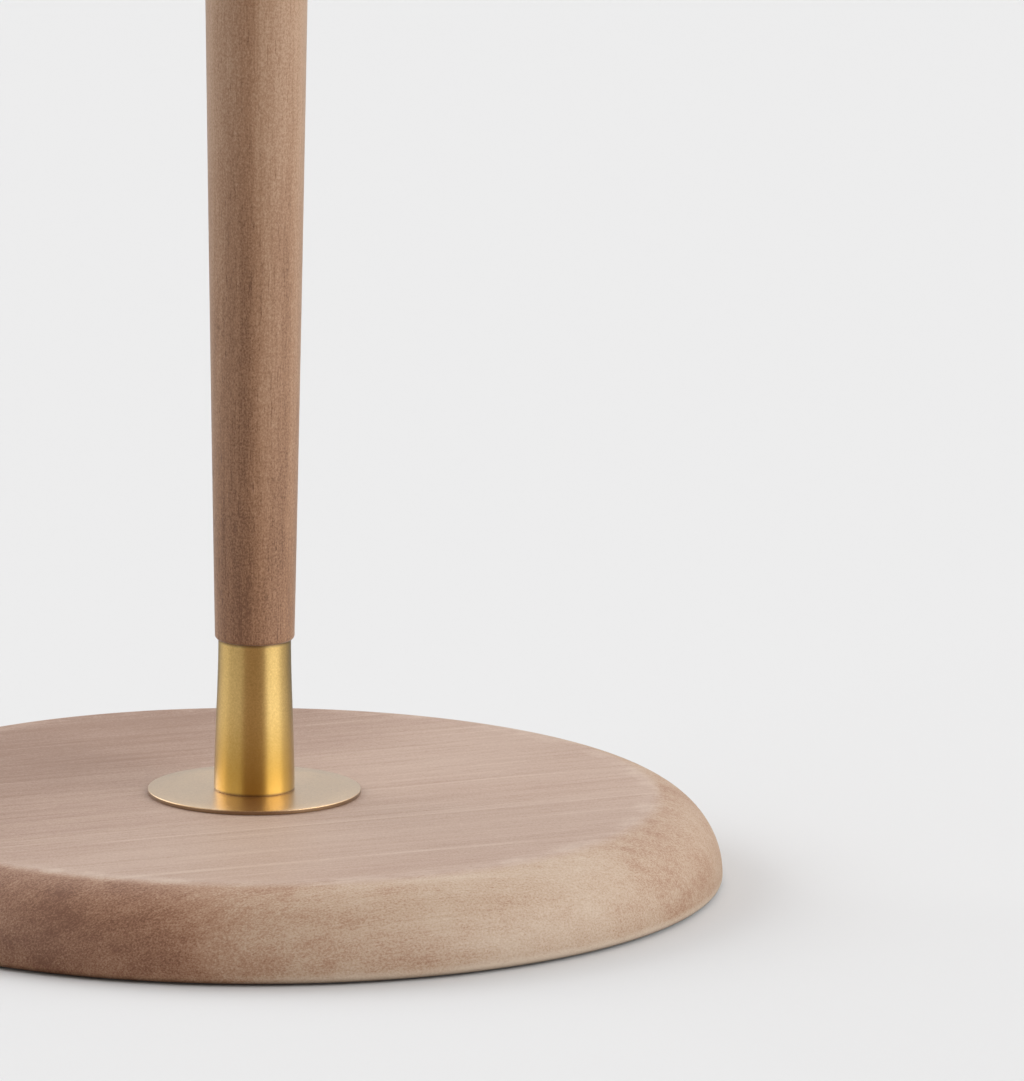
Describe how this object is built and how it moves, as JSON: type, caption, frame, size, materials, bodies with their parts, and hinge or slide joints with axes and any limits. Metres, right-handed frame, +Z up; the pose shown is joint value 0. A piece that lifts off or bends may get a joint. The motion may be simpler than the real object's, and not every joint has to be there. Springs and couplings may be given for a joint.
{
  "type": "paper towel holder",
  "caption": "Upright paper towel holder: a tapered wooden post on a brass ferrule and flange, bolted to a round weighted wooden base.",
  "frame": {"origin": "centre of the underside, on the surface the holder stands on", "axes": "+Z up along the post; +X to the right and +Y away from someone facing the holder, which is round about Z"},
  "size_m": [0.17, 0.17, 0.33],
  "materials": {
    "base_wood": "raw matte, finely sanded",
    "post_wood": "raw matte, finely sanded",
    "brass": "satin, finely brushed round the axis",
    "insert_brass": "as machined",
    "zinc_steel": "zinc plated",
    "black_steel": "black powder coat",
    "foot_rubber": "matte, fine texture"
  },
  "bodies": {
    "base": {"base_disc": "base_wood", "ballast_plate": "black_steel", "plate_screw_1": "zinc_steel", "plate_screw_2": "zinc_steel", "plate_screw_3": "zinc_steel", "foot_pad": "foot_rubber", "flange_disc": "brass", "flat_washer": "zinc_steel", "spring_washer": "zinc_steel"},
    "bolt": {"assembly_bolt": "zinc_steel"},
    "post": {"post": "post_wood", "ferrule": "brass", "threaded_insert": "insert_brass"}
  },
  "joints": [
    {"name": "bolt_turn", "type": "hinge", "parent": "base", "child": "bolt", "pos_m": [0, 0, 0.0063], "axis": [0, 0, -1], "range_deg": [0, 5400]},
    {"name": "post_lift", "type": "slide", "parent": "base", "child": "post", "axis": [0, 0, 1], "range_m": [0, 0.012]}
  ],
  "couplings": [
    {"joint": "bolt_turn", "follows": "post_lift", "rad_per_m": 7853.9}
  ]
}
